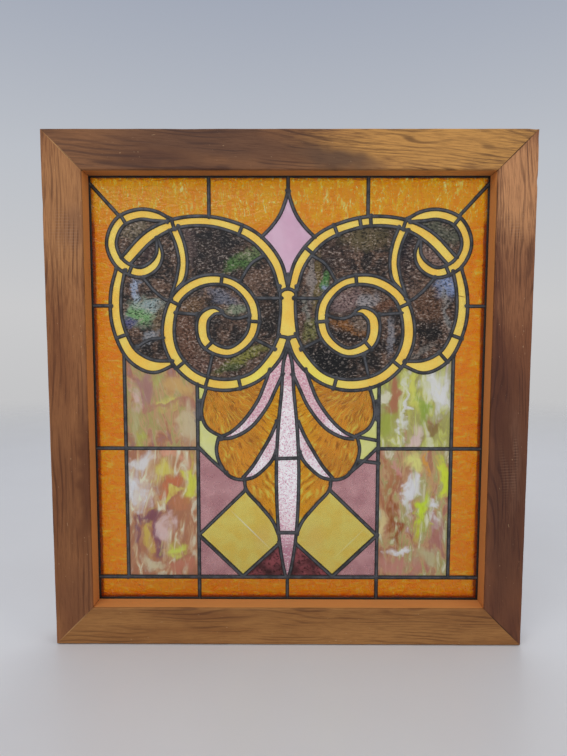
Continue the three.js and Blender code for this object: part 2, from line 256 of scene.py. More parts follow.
# %% Lay out every lead of the panel
def ribbon_leads(name, side):
    """The two leads of a ribbon, and the short ones that cross it.

    A lead is the middle line plus or minus half the width, square to the line. A joint
    joins the points of the two leads that are nearest to where it was drawn.
    """
    middle = smooth_line(place(RIBBONS[name], side))
    off = sideways(middle) * middle[:, 2:3] / 2
    edges = [middle[:, :2] + off, middle[:, :2] - off]
    joints = RIBBON_JOINTS[name][0 if side == LEFT else 1]
    ends = [place([joint], side)[0] for joint in joints]
    nearest = [
        np.array([edge[np.argmin(np.hypot(*(edge - end).T))] for edge in edges]) for end in ends
    ]
    return edges + nearest


def single_leads(drawn, side):
    """Straight leads stay straight; those with more than two points are smooth."""
    placed = [place(points, side) for points in drawn]
    return [points if len(points) == 2 else smooth_line(points) for points in placed]


leads = [np.array(SILL_LEAD, float)]
for side in (LEFT, RIGHT):
    for name in RIBBONS:
        leads += ribbon_leads(name, side)
    leads += single_leads(PAIRED_LEADS, side)
leads += single_leads(LEFT_LEADS, LEFT)
leads += single_leads(RIGHT_LEADS, RIGHT)
total = sum(np.hypot(*np.diff(lead[:, :2], axis=0).T).sum() for lead in leads)
print("leads:", len(leads), "together metres:", round(total / 1000, 2))

# %% [markdown]
# ## Meshes from arrays
# Every new piece is a surface over a grid: one direction runs along the piece and the
# other round it. Blender could extrude or sweep a curve, but arrays keep the wear and the
# unevenness of handwork under control. A piece is gathered from its grids, and then made
# into one mesh, in metres.

# %% Gather grids into a piece
class Piece:
    """Collects closed grids of points, in millimetres, and makes one object of them."""

    def __init__(self, name):
        self.name = name
        self.points = []
        self.values = []
        self.faces = []
        self.count = 0

    def add_tube(self, grid, values):
        """A grid of rings: rings are joined to the next, closed round, and capped.

        grid has the shape rings, points in a ring, 3. values is one number for each point.
        The faces are turned over as a whole if the enclosed volume comes out negative.
        """
        rings, around = grid.shape[:2]
        index = np.arange(rings * around).reshape(rings, around)
        beside = np.roll(index, -1, axis=1)
        quads = np.stack([index[:-1], beside[:-1], beside[1:], index[1:]], axis=-1).reshape(-1, 4)
        centre = grid.reshape(-1, 3).mean(0)
        a, b, c, d = (grid.reshape(-1, 3)[quads[:, k]] - centre for k in range(4))
        volume = (np.cross(a, b) * c).sum() + (np.cross(a, c) * d).sum()
        first, last = index[0][::-1], index[-1]
        faces = [quads, first[None], last[None]]
        if volume < 0:
            faces = [block[:, ::-1] for block in faces]
        self.faces += [face for block in faces for face in (block + self.count).tolist()]
        self.points.append(grid.reshape(-1, 3))
        self.values.append(np.broadcast_to(values, grid.shape[:2]).ravel())
        self.count += rings * around

    def make(self, finish, slot, *replaced):
        """Makes the object: it rides on the body and stands for the solids it replaces."""
        mesh = bpy.data.meshes.new(self.name)
        mesh.from_pydata((np.vstack(self.points) / 1000).tolist(), [], self.faces)
        across = mesh.attributes.new("across", "FLOAT", "POINT")
        across.data.foreach_set("value", np.concatenate(self.values).astype(np.float32))
        mesh.materials.append(finish)
        mesh.update()
        thing = bpy.data.objects.new(self.name, mesh)
        bpy.context.scene.collection.objects.link(thing)
        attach(thing, "root")
        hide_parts(*replaced)
        triangles = sum(len(face) - 2 for face in self.faces)
        print(self.name, "triangles:", triangles)


def sway(at, seed, rough=1.0):
    """A slow wave between about -1 and 1: three sines whose lengths share no measure."""
    return (
        np.sin(at * 0.071 / rough + seed * 1.7)
        + 0.6 * np.sin(at * 0.173 / rough + seed * 2.9)
        + 0.4 * np.sin(at * 0.397 / rough + seed * 0.6)
    ) / 2.0

# %% [markdown]
# ## The leads
# A came is an extruded strip of lead with an H-shaped section: a web between the edges of
# the glass, and a rounded flange over each face. The solids have a plain bar in its place.
# The flange could be a bevelled curve, but the H needs hollows for the glass, so its
# section is carried along each line. Each came lies a little high or low, as they do when
# they are laid by hand, which also keeps two of them from sharing one surface. The one
# over the sill is a wider came.

# %% The section of a came
CAME_FRONT, CAME_BACK = 3.75, 8.75
CHANNEL_FRONT, CHANNEL_BACK = 4.68, 7.82
CAME_DOME = 0.62
FLANGE_HALF = 2.4
WEB_HALF = 1.5


def came_section(flange, web):
    """Points round an H: (across, depth), with both flanges domed as 1 - (across/half)^2."""
    across = np.linspace(-flange, flange, 9)
    fall = CAME_DOME * (across / flange) ** 2
    front = np.column_stack([across, CAME_FRONT + fall])
    back = np.column_stack([across[::-1], CAME_BACK - fall[::-1]])
    right = [
        (flange, CHANNEL_FRONT), (web, CHANNEL_FRONT),
        (web, CHANNEL_BACK), (flange, CHANNEL_BACK),
    ]
    left = [(-out, depth) for out, depth in right[::-1]]
    return np.vstack([front, right, back, left])


section = came_section(FLANGE_HALF, WEB_HALF)
print("points round a came:", len(section))

# %% Carry the section along every line
def carry(line, section, lift, swell):
    """Ring i, point j: line[i] + sideways[i] * across[j] * swell[i], at depth[j] + lift."""
    off = sideways(line)
    across = section[None, :, 0] * swell[:, None]
    grid = np.empty((len(line), len(section), 3))
    grid[..., 0] = line[:, None, 0] + off[:, None, 0] * across
    grid[..., 1] = section[None, :, 1] + lift[:, None]
    grid[..., 2] = line[:, None, 1] + off[:, None, 1] * across
    return grid


STRAIGHT_STEP, CURVED_STEP = 9.0, 3.0
SILL_WIDENING = 1.12
LIFT_LIMIT = 0.08

came_work = Piece("came_work")
for number, lead in enumerate(leads):
    line = even_line(lead, STRAIGHT_STEP if len(lead) == 2 else CURVED_STEP)
    along = np.arange(len(line)) * CURVED_STEP
    wide = SILL_WIDENING if number == 0 else 1.0
    swell = wide * (1 + 0.035 * sway(along, number))
    lift = 0.05 * sway(along, number + 50, 2.0) + 0.03 * math.sin(number * 2.4)
    lift = np.clip(lift, -LIFT_LIMIT, LIFT_LIMIT)
    came_work.add_tube(carry(line, section, lift, swell), section[:, 0] / FLANGE_HALF)
print("cames carried:", len(leads), "points:", came_work.count)

# %% The came round the edge
EDGE_INNER, EDGE_OUTER = 253.7, 261.6


def edge_section():
    """Points round a C that opens inwards, measured inwards from the outer edge."""
    wide = EDGE_OUTER - EDGE_INNER
    return np.array([
        (0, CAME_FRONT), (wide - 1.6, CAME_FRONT), (wide - 0.5, CAME_FRONT + 0.18),
        (wide, CAME_FRONT + 0.55), (wide, CHANNEL_FRONT), (wide - 1.0, CHANNEL_FRONT),
        (wide - 1.0, CHANNEL_BACK), (wide, CHANNEL_BACK), (wide, CAME_BACK - 0.55),
        (wide - 0.5, CAME_BACK - 0.18), (wide - 1.6, CAME_BACK), (0, CAME_BACK),
    ])


def edge_came(corners, inwards):
    """One side of the edge came: its section drawn from corner to corner, mitred at both."""
    ring = edge_section()
    start, end = np.array(corners, float)
    turn_start, turn_end = np.array(inwards, float)
    grid = np.empty((2, len(ring), 3))
    for row, (corner, turn) in enumerate(((start, turn_start), (end, turn_end))):
        grid[row, :, 0] = corner[0] + turn[0] * ring[:, 0]
        grid[row, :, 1] = ring[:, 1]
        grid[row, :, 2] = corner[1] + turn[1] * ring[:, 0]
    return grid, ring[:, 0]


reach = EDGE_OUTER - SIGHT_HALF
low, high = SIGHT_LOW - reach, SIGHT_HIGH + reach
corners = [(-EDGE_OUTER, low), (EDGE_OUTER, low), (EDGE_OUTER, high), (-EDGE_OUTER, high)]
turns = [(1, 1), (-1, 1), (-1, -1), (1, -1)]
edge_work = Piece("edge_came")
for side in range(4):
    ends = (side, (side + 1) % 4)
    grid, inward = edge_came([corners[k] for k in ends], [turns[k] for k in ends])
    edge_work.add_tube(grid, inward / inward.max())
print("points of the edge came:", edge_work.count)

# %% [markdown]
# ## The solder
# Where leads meet they are tinned together with solder, on both faces. Each joint is a
# shallow, uneven pool that runs out a little along the leads. A sphere pressed flat would
# look turned on a lathe, so each pool is a dome over a rim whose radius wavers.

# %% Pool solder at every joint
def solder_points(lines, near):
    """The ends of all the leads, leaving out any closer than near to one kept before."""
    ends = np.vstack([line[[0, -1], :2] for line in lines])
    apart = np.hypot(*(ends[:, None] - ends[None]).transpose(2, 0, 1))
    earlier = np.tril(apart < near, -1).any(1)
    margin = 0.5
    inside = abs(ends[:, 0]) < SIGHT_HALF - margin
    inside &= (ends[:, 1] > SIGHT_LOW + margin) & (ends[:, 1] < SIGHT_HIGH - margin)
    return ends[~earlier & inside]


def pool(centre, size, seed, face):
    """Rings from the rim up to the crown: radius r(a) * q, height h * sqrt(1 - q^2).

    r(a) is the size times 1 plus three small waves round the rim, and q runs from 1 to 0.
    face is -1 for the front and 1 for the back.
    """
    turn = np.linspace(0, 2 * np.pi, 14, endpoint=False)
    rim = size * (1 + 0.10 * np.sin(2 * turn + seed) + 0.09 * np.sin(3 * turn + 2.1 * seed))
    q = np.array([1.0, 1.0, 0.86, 0.62, 0.34, 0.1])
    rise = np.array([-0.9, -0.35, 0.0, 0.25, 0.4, 0.45]) * (1 + 0.3 * math.sin(seed * 3.3))
    level = CAME_FRONT if face < 0 else CAME_BACK
    grid = np.empty((len(q), len(turn), 3))
    grid[..., 0] = centre[0] + q[:, None] * rim * np.cos(turn)
    grid[..., 1] = level + face * rise[:, None]
    grid[..., 2] = centre[1] + q[:, None] * rim * np.sin(turn)
    return grid


JOINTS_APART = 5.0
POOL_SIZE = 3.0
TIP_HEIGHT, TIP_SIZE = 589.0, 3.8

solder_work = Piece("solder")
joints = solder_points(leads, JOINTS_APART)
for number, joint in enumerate(joints):
    size = POOL_SIZE + 0.5 * math.sin(number * 1.9)
    for face in (-1, 1):
        solder_work.add_tube(pool(joint, size, number + 40 * face, face), 0.0)
# One more closes the tip of the diamond, where two curved leads meet a straight one.
for face in (-1, 1):
    solder_work.add_tube(pool((AXIS_X, TIP_HEIGHT), TIP_SIZE, 3.0, face), 0.0)
print("soldered joints:", len(joints) + 1)

# %% [markdown]
# ## The frame boards
# Each board is planed from a length of old timber, grooved for the panel and cut to a
# mitre at both ends. Years of handling have rounded its edges, most of all the one round
# the opening. A Bevel modifier would round them all alike. Here the section of a board is
# a ring of corners, each with its own radius, and the radius grows where the edge is worn.

# %% The section of a board
BOARD_WIDTH = 49.0
GROOVE_FRONT, GROOVE_BACK, GROOVE_FLOOR = 3.45, 9.05, 43.0
# Each corner: across from the outer edge, depth, and its radius. The middle four are the
# groove that holds the panel.
BOARD_CORNERS = np.array([
    (0, -HALF_DEPTH, 1.3), (BOARD_WIDTH, -HALF_DEPTH, 2.3),
    (BOARD_WIDTH, GROOVE_FRONT, 0.35), (GROOVE_FLOOR, GROOVE_FRONT, 0.01),
    (GROOVE_FLOOR, GROOVE_BACK, 0.01), (BOARD_WIDTH, GROOVE_BACK, 0.35),
    (BOARD_WIDTH, HALF_DEPTH, 1.2), (0, HALF_DEPTH, 1.3),
])
ARC_POINTS = 5
SPAN_POINTS = 7


def board_ring():
    """A fixed place, and a direction that the corner's radius multiplies, for each point.

    An arc point is corner + radius * (inward step - outward unit vector), so the whole
    ring is known for any radius. Straight points between corners don't move with it.
    """
    corners = BOARD_CORNERS[:, :2]
    into = corners - np.roll(corners, 1, axis=0)
    out = np.roll(corners, -1, axis=0) - corners
    into /= np.hypot(*into.T)[:, None]
    out /= np.hypot(*out.T)[:, None]
    angle = np.linspace(0, np.pi / 2, ARC_POINTS)
    fixed, moved, owner = [], [], []
    for k in range(len(corners)):
        arc = -into[k] * (1 - np.sin(angle))[:, None] + out[k] * (1 - np.cos(angle))[:, None]
        step = np.linspace(0, 1, SPAN_POINTS + 2)[1:-1, None]
        span = corners[k] + step * (np.roll(corners, -1, axis=0)[k] - corners[k])
        fixed += [np.repeat(corners[k:k + 1], ARC_POINTS, axis=0), span]
        moved += [arc, np.zeros_like(span)]
        owner += [k] * (ARC_POINTS + len(span))
    return np.vstack(fixed), np.vstack(moved), np.array(owner)


ring_fixed, ring_moved, ring_owner = board_ring()
print("points round a board:", len(ring_fixed))

# %% Make the four boards
MITRE_EASE = 0.22
ARRIS_BREAK = 0.25
RING_GAP = 4
# Beyond this depth, in front and behind, lie the broad faces of a board.
FACE_DEPTH = HALF_DEPTH - 1.25
WIDTH = 2 * HALF_WIDTH
# Name: length, seed of its wear, and places along it where an edge is chipped, as
# (which corner, share of the length, extra radius, how far it spreads in millimetres).
BOARDS = {
    "frame_top_rail": (WIDTH, 1, [(0, 0.995, 2.2, 6), (0, 0.30, 0.8, 20), (1, 0.62, 1.2, 30)]),
    "frame_bottom_rail": (WIDTH, 2, [(1, 0.2, 0.9, 25), (0, 0.75, 0.7, 18)]),
    "frame_left_stile": (HEIGHT, 3, [(0, 0.86, 1.4, 8), (1, 0.35, 1.0, 35)]),
    "frame_right_stile": (
        HEIGHT, 4, [(0, 0.905, 2.4, 5), (0, 0.985, 2.0, 9), (1, 0.15, 1.0, 25)],
    ),
}


def board_place(name, across, depth, along):
    """Turns (across, depth, along) of a board into x, y, z of the frame."""
    if name == "frame_left_stile":
        return -HALF_WIDTH + across, depth, along
    if name == "frame_right_stile":
        return HALF_WIDTH - across, depth, along
    if name == "frame_bottom_rail":
        return along - HALF_WIDTH, depth, across
    return along - HALF_WIDTH, depth, HEIGHT - across


def board_grid(name, length, seed, chips):
    """Rings from mitre to mitre: along = start(across) + t * (length - 2 * start(across)).

    The two end rings are drawn in a little, which breaks the arris of the mitre.
    """
    t = np.r_[0, np.linspace(0, 1, int(length // RING_GAP)), 1]
    inset = np.zeros(len(t))
    inset[[0, -1]] = ARRIS_BREAK
    radius = BOARD_CORNERS[:, 2] * (1 + 0.28 * np.array([
        sway(t * length, seed + 7 * k) for k in range(len(BOARD_CORNERS))
    ]).T)
    for corner, share, extra, spread in chips:
        radius[:, corner] += extra * np.exp(-(((t - share) * length / spread) ** 2))
    section = ring_fixed[None] + ring_moved[None] * radius[:, ring_owner, None]
    across, depth = section[..., 0], section[..., 1]
    across = across - np.sign(across - BOARD_WIDTH / 2) * inset[:, None]
    depth = depth - np.sign(depth) * inset[:, None]
    # The faces are not quite flat: each falls away by up to a third of a millimetre.
    hollow = 0.15 * (1 + sway(t * length, seed + 3, 1.6))[:, None]
    shown = (abs(section[..., 1]) > FACE_DEPTH) & (across > 1.5) & (across < BOARD_WIDTH - 3)
    depth = depth - np.sign(depth) * hollow * shown
    start = np.clip(across, 0, BOARD_WIDTH) + MITRE_EASE
    along = start + t[:, None] * (length - 2 * start)
    along[0] = along[1]
    along[-1] = along[-2]
    x, y, z = board_place(name, across, depth, along)
    return np.stack([x, y, z], axis=-1)


# Where the ring is sunk into the opening: 1 on the face that looks inwards, in front of
# the glass and behind it, and 0 elsewhere.
ring_inward = ring_fixed[:, 0] > BOARD_WIDTH - 1
ring_sunk = (ring_inward & (abs(ring_fixed[:, 1]) < FACE_DEPTH)).astype(float)

boards = {}
for name, (length, seed, chips) in BOARDS.items():
    boards[name] = Piece(name.replace("frame", "board"))
    boards[name].add_tube(board_grid(name, length, seed, chips), ring_sunk)
print("boards:", list(boards), "points of the ring that face inwards:", int(ring_sunk.sum()))

# %% [markdown]
# ## A way to write materials
# A material is a tree of nodes, but long trees are easier to read as arithmetic. The class
# below wraps one socket, so that an expression such as 1 - mask * 0.5 adds the Math nodes
# it stands for. Every other node comes from one method.

# %% Write node trees as expressions
def paint(red, green, blue):
    """A colour given as it looks on a screen, from 0 to 255, in Blender's linear values."""
    shown = np.array([red, green, blue]) / 255
    linear = np.where(shown <= 0.04045, shown / 12.92, ((shown + 0.055) / 1.055) ** 2.4)
    return tuple(float(v) for v in np.clip(linear, 0, 1)) + (1.0,)


class Wire:
    """One output socket. Arithmetic on it adds Math nodes and gives the new output."""

    def __init__(self, tree, socket):
        self.tree = tree
        self.socket = socket

    def join(self, operation, first, second):
        return self.tree.add("ShaderNodeMath", {"operation": operation}, {0: first, 1: second})

    def __add__(self, other):
        return self.join("ADD", self, other)

    def __radd__(self, other):
        return self.join("ADD", other, self)

    def __sub__(self, other):
        return self.join("SUBTRACT", self, other)

    def __rsub__(self, other):
        return self.join("SUBTRACT", other, self)

    def __mul__(self, other):
        return self.join("MULTIPLY", self, other)

    def __rmul__(self, other):
        return self.join("MULTIPLY", other, self)


class Tree:
    """A node tree, with one method that adds any node and a few that add common groups."""

    def __init__(self, tree):
        self.tree = tree

    def add(self, kind, settings, values, out=0):
        """Adds a node: its settings first, then its sockets, each a wire or a plain value."""
        node = self.tree.nodes.new(kind)
        for name, value in settings.items():
            if name == "stops":
                ramp = node.color_ramp.elements
                while len(ramp) < len(value):
                    ramp.new(1.0)
                for element, (place, colour) in zip(ramp, value):
                    element.position = place
                    element.color = colour
            else:
                setattr(node, name, value)
        for name, value in values.items():
            if isinstance(value, Wire):
                self.tree.links.new(value.socket, node.inputs[name])
            else:
                node.inputs[name].default_value = value
        return Wire(self, node.outputs[out])

    def step(self, value, low, high):
        """A soft step: 0 at low, 1 at high, and a smooth rise or fall between."""
        return self.add(
            "ShaderNodeMapRange", {"interpolation_type": "SMOOTHSTEP"},
            {"Value": value, "From Min": low, "From Max": high},
        )

    def ramp(self, value, *stops):
        """Colours along a value."""
        return self.add("ShaderNodeValToRGB", {"stops": stops}, {0: value})

    def blend(self, factor, first, second):
        """Mixes two colours: the first where the factor is 0, the second where it is 1."""
        values = {0: factor, 6: first, 7: second}
        return self.add("ShaderNodeMix", {"data_type": "RGBA"}, values, 2)


class Finish(Tree):
    """A material: its tree, its Principled shader, and places on the piece in millimetres."""

    def __init__(self, name):
        self.material = bpy.data.materials.new(name)
        self.material.use_nodes = True
        super().__init__(self.material.node_tree)
        self.shader = self.tree.nodes["Principled BSDF"]
        self.spot = self.add("ShaderNodeTexCoord", {}, {}, "Object")

    def fix(self, **constants):
        """Sets plain values on the shader's own sockets: Coat_Weight means Coat Weight."""
        for name, value in constants.items():
            self.shader.inputs[name.replace("_", " ")].default_value = value

    def feed(self, **wires):
        """Links wires to the shader's sockets."""
        for name, wire in wires.items():
            self.tree.links.new(wire.socket, self.shader.inputs[name.replace("_", " ")])

    def lay(self, stretch=(1, 1, 1), turn=0.0, centre=(0, 0)):
        """Places on the piece in millimetres from centre.

        The first axis is turned up from the horizontal by turn, and a stretch below 1
        draws a pattern out along its axis.
        """
        return self.add(
            "ShaderNodeMapping", {"vector_type": "TEXTURE"},
            {"Vector": self.spot, "Location": (centre[0] / 1000, 0, centre[1] / 1000),
             "Rotation": (0, -turn, 0), "Scale": tuple(0.001 / s for s in stretch)},
        )

    def noise(self, where, size, detail=3.0, rough=0.5, twist=0.0, out=0):
        """Cloudy noise from 0 to 1, whose blotches are about size millimetres across."""
        return self.add(
            "ShaderNodeTexNoise", {},
            {"Vector": where, "Scale": 1 / size, "Detail": detail, "Roughness": rough,
             "Distortion": twist}, out,
        )

    def stir(self, where, size, amount, detail=2.0):
        """Moves each place by a cloud of its own, as colours are stirred in molten glass."""
        vector = "ShaderNodeVectorMath"
        cloud = self.noise(where, size, detail, out=1)
        push = self.add(vector, {"operation": "SUBTRACT"}, {0: cloud, 1: (0.5, 0.5, 0.5)})
        push = self.add(vector, {"operation": "SCALE"}, {0: push, "Scale": amount})
        return self.add(vector, {"operation": "ADD"}, {0: where, 1: push})

    def patch(self, where, centre, reach, turn=0.0, ragged=0.0):
        """1 in the middle of an oval and 0 at its rim, which ragged moves in and out.

        The first axis of the oval is turned up from the horizontal by turn.
        """
        local = self.add(
            "ShaderNodeMapping", {"vector_type": "TEXTURE"},
            {"Vector": where, "Location": (centre[0], 0, centre[1]),
             "Rotation": (0, -turn, 0), "Scale": (reach[0], 1e4, reach[1])},
        )
        away = self.add("ShaderNodeVectorMath", {"operation": "LENGTH"}, {0: local}, "Value")
        return self.step(away + ragged, 1.1, 0.3)

    def daub(self, shade, where, patches, ragged=0.0):
        """Lays soft patches of colour over a shade, one after another.

        Each patch is (centre, reach, turn, colour, strength).
        """
        for centre, reach, turn, colour, strength in patches:
            mask = self.patch(where, centre, reach, turn, ragged)
            shade = self.blend(mask * strength, shade, colour)
        return shade

    def part(self, where, axis):
        """One of the three numbers of a place: X, Y or Z."""
        return self.add("ShaderNodeSeparateXYZ", {}, {0: where}, axis)

    def math(self, operation, *values):
        """One of the Math node's own functions, such as SINE."""
        return self.add("ShaderNodeMath", {"operation": operation}, dict(enumerate(values)))

    def bump(self, height, depth, strength=1.0):
        """Feeds the shader's Normal from a height between 0 and 1, depth in millimetres.

        It is the last step of every finish here, so it also prints the size of the tree.
        """
        wire = self.add(
            "ShaderNodeBump", {},
            {"Height": height, "Distance": depth / 1000, "Strength": strength},
        )
        self.feed(Normal=wire)
        print(self.material.name, "nodes:", len(self.tree.nodes))


print("a screen colour of 188 is", round(paint(188, 188, 188)[0], 3), "in linear light")

# %% [markdown]
# ## Lead and solder
# Old lead is a dull blue-grey. Its crown is polished by cleaning, while the cement that
# seals the glass leaves a black line along both edges of the flange. The attribute called
# across, which was stored with each ring, tells how far a point lies from the crown.

# %% Finish the lead
def lead_finish(name, crown, edge, shine):
    """Blends edge to crown colour by the distance across the flange, with dull patches."""
    lead = Finish(name)
    where = lead.lay()
    across = lead.add("ShaderNodeAttribute", {"attribute_name": "across"}, {}, "Fac")
    side = lead.step(across * across, 0.05, 0.5)
    dull = lead.noise(where, 9, 4, 0.6)
    fine = lead.noise(where, 0.9, 3, 0.6)
    shade = lead.blend(side * 0.95, crown, edge)
    shade = lead.blend(lead.step(dull, 0.40, 0.66) * 0.6, shade, edge)
    lead.feed(Base_Color=shade, Roughness=0.38 + 0.3 * dull, Metallic=shine - shine * side)
    lead.bump(0.5 * fine + dull, 0.25, 0.5)
    return lead.material


lead_metal = lead_finish("lead", paint(88, 89, 93), paint(8, 8, 9), 0.3)
# The came round the edge is nearly black: blackened lead, darkened further as painted shade of the
# frame groove that holds it.
edge_metal = lead_finish("edge_lead", paint(40, 36, 36), paint(8, 6, 6), 0.1)
solder_metal = lead_finish("solder", paint(76, 77, 80), paint(16, 16, 18), 0.3)

came_work.make(lead_metal, "lead", "lead_came_net")
edge_work.make(edge_metal, "lead", "lead_came_net")
solder_work.make(solder_metal, "lead", "lead_came_net")

# %% [markdown]
# ## The wood
# The boards are old timber, stained and then handled for years. Seen close, a board
# shows dark late-wood lines that run with its length, wander, and close into tall arches,
# finer fibres between them, and broad stains where it was wiped or wetted. A picture of
# wood would repeat on all four boards. Here each board has its own lines: a sine of the
# distance across the board, after that distance is pushed about by slow noise. The faces
# that look into the opening catch orange light through the glass. Such light is slow to
# render, so it is laid on them as a colour.

# %% Finish the boards
FULL_TURN = 6.283


def wood_finish(name, centre, turn, colours, lines, sunk_share, stains, seams, sawn=()):
    """Late-wood lines, fibres, stains and pale nicks on a board whose length runs at turn.

    lines is (spacing, wander): a line is dark where sin(2 pi (across + wander * noise) /
    spacing) is near 1. stains are soft patches with ragged rims, seams are straight marks
    along the mitres, and sawn places show the faint cross marks of the saw. sunk_share is
    how much orange light from the glass lies on the faces that look into the opening.
    """
    light, dark, line_colour = colours
    wood = Finish(name)
    where = wood.lay()
    slow = wood.lay((0.16, 1, 1), turn, centre)
    plain = wood.lay((1, 1, 1), turn, centre)
    drift = wood.noise(slow, 30, 2, 0.4)
    spacing, wander = lines
    pushed = wood.part(plain, "Z") + wander * drift
    line = wood.math("SINE", pushed * (FULL_TURN / spacing))
    weight = wood.noise(slow, 14, 2, 0.5)
    late = wood.step(line, 0.1, 1.0) * wood.step(weight, 0.38, 0.68)
    fibre = wood.noise(wood.lay((0.05, 1, 1), turn, centre), 0.9, 4, 0.65)
    cloud = wood.noise(slow, 26, 3, 0.5)
    shade = wood.blend(wood.step(cloud, 0.34, 0.66), light, dark)
    shade = wood.daub(shade, wood.stir(where, 34, 30), stains, (fibre - 0.5) * 0.8)
    shade = wood.blend(wood.step(fibre, 0.40, 0.70) * 0.4, shade, line_colour)
    shade = wood.blend(late * 0.62, shade, line_colour)
    ticks = wood.step(wood.math("SINE", wood.part(plain, "X") * 1.7), 0.2, 1.0)
    for spot, reach in sawn:
        marks = ticks * wood.step(weight, 0.45, 0.6) * wood.patch(where, spot, reach)
        shade = wood.blend(marks * 0.16, shade, paint(196, 160, 130))
    shade = wood.daub(shade, where, seams)
    nick = wood.step(wood.noise(wood.lay((0.4, 1, 1), turn, centre), 2.4, 2, 0.6), 0.72, 0.76)
    shade = wood.blend(nick * 0.5, shade, paint(206, 168, 126))
    sunk = wood.add("ShaderNodeAttribute", {"attribute_name": "across"}, {}, "Fac")
    shade = wood.blend(sunk * sunk_share, shade, paint(236, 158, 86))
    wood.feed(Base_Color=shade, Roughness=0.62 - 0.16 * late + 0.1 * fibre)
    wood.bump(0.6 * fibre - 0.3 * late - 0.8 * nick, 0.4, 0.5)
    wood.fix(Specular_IOR_Level=0.2)
    return wood.material


def mitre(right, up, colour, strength):
    """The mark along a mitre: right and up are 1 or -1, and choose the corner."""
    place = (280.5 * right, 328.5 + 304 * up)
    return place, (37, 0.9), 0.785 * right * up, colour, strength


UPRIGHT = math.pi / 2
PALE, BLACK = paint(200, 152, 100), paint(36, 22, 16)
# Name: centre, turn, colours, lines, share of orange light, stains, seams and sawn places.
WOODS = {
    "frame_top_rail": (
        (0, 632), -0.07,
        (paint(146, 100, 66), paint(110, 74, 52), paint(62, 38, 32)), (6.0, 46), 0.4, [
            ((190, 640), (200, 52), 0.0, paint(206, 150, 82), 1.0),
            ((60, 622), (66, 19), -0.2, paint(104, 78, 60), 0.9),
            ((-90, 640), (170, 30), -0.1, paint(106, 74, 56), 0.8),
            ((-170, 622), (60, 14), 0.0, paint(88, 58, 46), 0.7),
        ], [
            mitre(-1, 1, PALE, 0.8), mitre(1, 1, BLACK, 0.8),
        ]),
    "frame_bottom_rail": (
        (0, 24), 0.0,
        (paint(172, 120, 68), paint(148, 98, 54), paint(98, 60, 34)), (5.5, 44), 0.7, [
            ((120, 20), (190, 34), 0.0, paint(178, 126, 72), 0.6),
            ((-110, 40), (90, 10), 0.0, paint(136, 88, 52), 0.5),
        ], [
            mitre(-1, -1, PALE, 0.8), mitre(1, -1, BLACK, 0.7),
        ]),
    "frame_left_stile": (
        (-280, 328), UPRIGHT,
        (paint(160, 106, 66), paint(134, 84, 52), paint(78, 42, 26)), (6.5, 30), 0.7, [
            ((-282, 560), (60, 130), 0.0, paint(182, 128, 82), 0.9),
            ((-262, 225), (14, 120), 0.0, paint(96, 54, 34), 0.8),
            ((-290, 190), (22, 160), 0.0, paint(128, 82, 52), 0.6),
            ((-268, 540), (18, 30), 0.0, paint(140, 98, 72), 0.5),
            ((-280, 60), (30, 60), 0.0, paint(126, 80, 52), 0.7),
        ], [
            mitre(-1, 1, PALE, 0.8), mitre(-1, -1, PALE, 0.8),
        ], [((-280, 530), (26, 40))]),
    "frame_right_stile": (
        (280, 328), UPRIGHT + 0.06,
        (paint(134, 84, 56), paint(104, 62, 44), paint(60, 32, 26)), (5.5, 50), 0.7, [
            ((284, 585), (46, 100), 0.0, paint(202, 144, 98), 1.0),
            ((284, 470), (34, 80), 0.0, paint(156, 104, 70), 0.7),
            ((282, 200), (40, 210), 0.0, paint(96, 60, 44), 0.85),
            ((266, 330), (14, 90), 0.1, paint(84, 48, 36), 0.6),
            ((290, 250), (10, 90), 0.0, paint(134, 94, 72), 0.35),
        ], [
            mitre(1, 1, BLACK, 0.8), mitre(1, -1, BLACK, 0.7),
        ], [((284, 260), (16, 80)), ((284, 545), (20, 26))]),
}
for name, recipe in WOODS.items():
    slot = name.replace("frame", "wood")
    boards[name].make(wood_finish(slot, *recipe), slot, name)

# %% [markdown]
# ## Glass in general
# The panel holds eleven kinds of sheet glass. All let light through, but each in its own
# way: the plain ones almost unhindered, the rolled and hammered ones scattered by their
# surface, and the opalescent ones by the milky streaks inside. How clear a glass is must be
# one value for the whole piece. The colour, the sheen and the relief may vary over it.

# %% Start a glass
def glass(name, clear, rough):
    """A Principled shader that lets through the share clear of the light."""
    sheet = Finish(name)
    sheet.fix(Transmission_Weight=clear, IOR=1.45, Roughness=rough, Specular_IOR_Level=0.3)
    return sheet


SHEEN = 0.012
ROOM_LIGHT = 0.50


def tint(red, green, blue):
    """The colour of a glass that shows as this colour with the pale room behind it.

    The room gives about half of full white, and a glass adds a faint sheen of its own, so
    the sheen is taken off and the rest divided by what the room gives. Nothing brighter
    than the room can be had this way.
    """
    wanted = np.array(paint(red, green, blue)[:3]) - SHEEN
    return tuple(float(v) for v in np.clip(wanted / ROOM_LIGHT, 0.002, 1)) + (1.0,)


print("tint of a mid amber:", [round(v, 3) for v in tint(220, 135, 20)])
